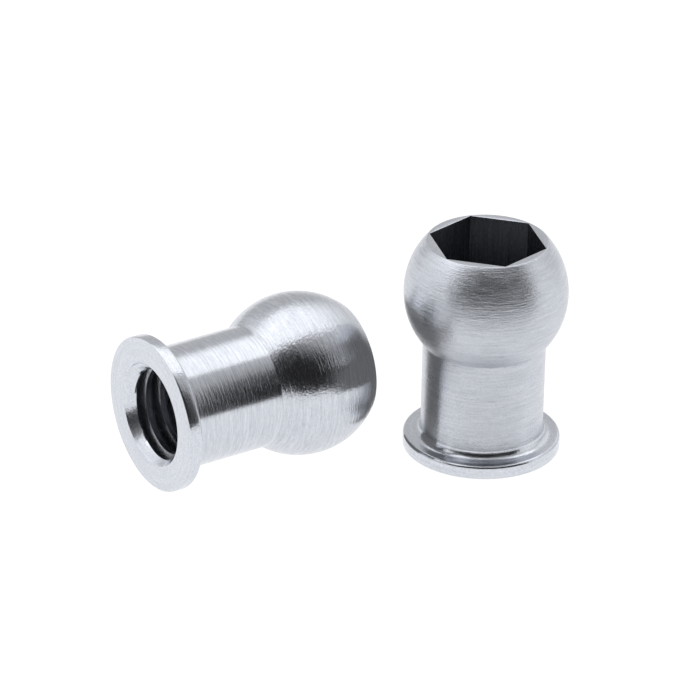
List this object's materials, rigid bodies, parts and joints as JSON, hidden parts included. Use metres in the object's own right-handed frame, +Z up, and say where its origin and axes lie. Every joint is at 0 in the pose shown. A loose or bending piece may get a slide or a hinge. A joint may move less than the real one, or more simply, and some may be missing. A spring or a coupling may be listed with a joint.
{
  "type": "rod end pivot ball pair",
  "caption": "Turned steel flanged pivot balls for rod ends, with a plain neck, truncated ball, hexagon drive socket and tapped bore, one standing on its flange and one lying loose.",
  "frame": {"origin": "centre of the standing ball's seating face, in the ground plane that both balls rest on", "axes": "+Z up, along the standing ball's own axis from its flange to its drive socket; the lying ball is on the -X side; +Y points away from the front"},
  "size_m": [0.0221, 0.0124, 0.011],
  "materials": {
    "turned_steel": "bright turned, fine circumferential tool lines, satin"
  },
  "bodies": {
    "upright_ball": {"pivot_ball_upright": "turned_steel"},
    "lying_ball": {"pivot_ball_lying": "turned_steel"}
  },
  "joints": [
    {"name": "lying_ball_lift", "type": "slide", "parent": "upright_ball", "child": "lying_ball", "axis": [0, 0, 1], "range_m": [0, 0.015]}
  ]
}
